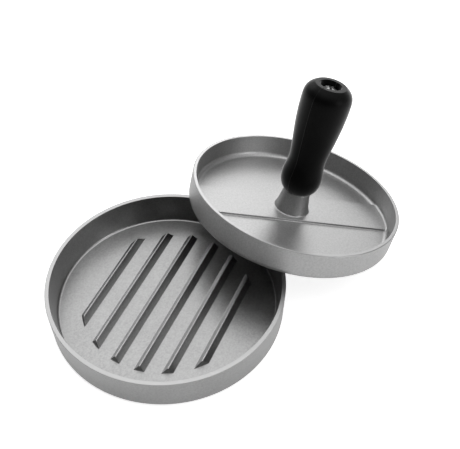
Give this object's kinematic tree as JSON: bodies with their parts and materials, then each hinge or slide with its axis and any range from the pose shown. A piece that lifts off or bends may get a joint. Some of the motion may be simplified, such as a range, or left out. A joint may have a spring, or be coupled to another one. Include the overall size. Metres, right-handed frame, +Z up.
{
  "type": "patty press",
  "caption": "Two-piece round patty press: a ribbed cast pan and a ribbed press plate with an upright turned grip, the press leaning on the pan's rim.",
  "frame": {"origin": "centre of the pan's flat underside, on the table", "axes": "+Z up, out of the open pan; +X the way the press leans, from the pan's centre towards the press"},
  "size_m": [0.1992, 0.1261, 0.093],
  "materials": {
    "cast_pan": "bead-blasted cast aluminium, satin",
    "cast_press": "bead-blasted cast aluminium, satin",
    "grip_black": "moulded, soft sheen",
    "screw_steel": "zinc-plated steel",
    "washer_steel": "spring steel"
  },
  "bodies": {
    "pan": {"pan": "cast_pan"},
    "press": {"press_plate": "cast_press", "grip": "grip_black", "handle_screw": "screw_steel", "spring_washer": "washer_steel"}
  },
  "joints": [
    {"name": "press_lift", "type": "slide", "parent": "pan", "child": "press", "axis": [0.3075, 0, 0.9515], "range_m": [0, 0.12]}
  ]
}
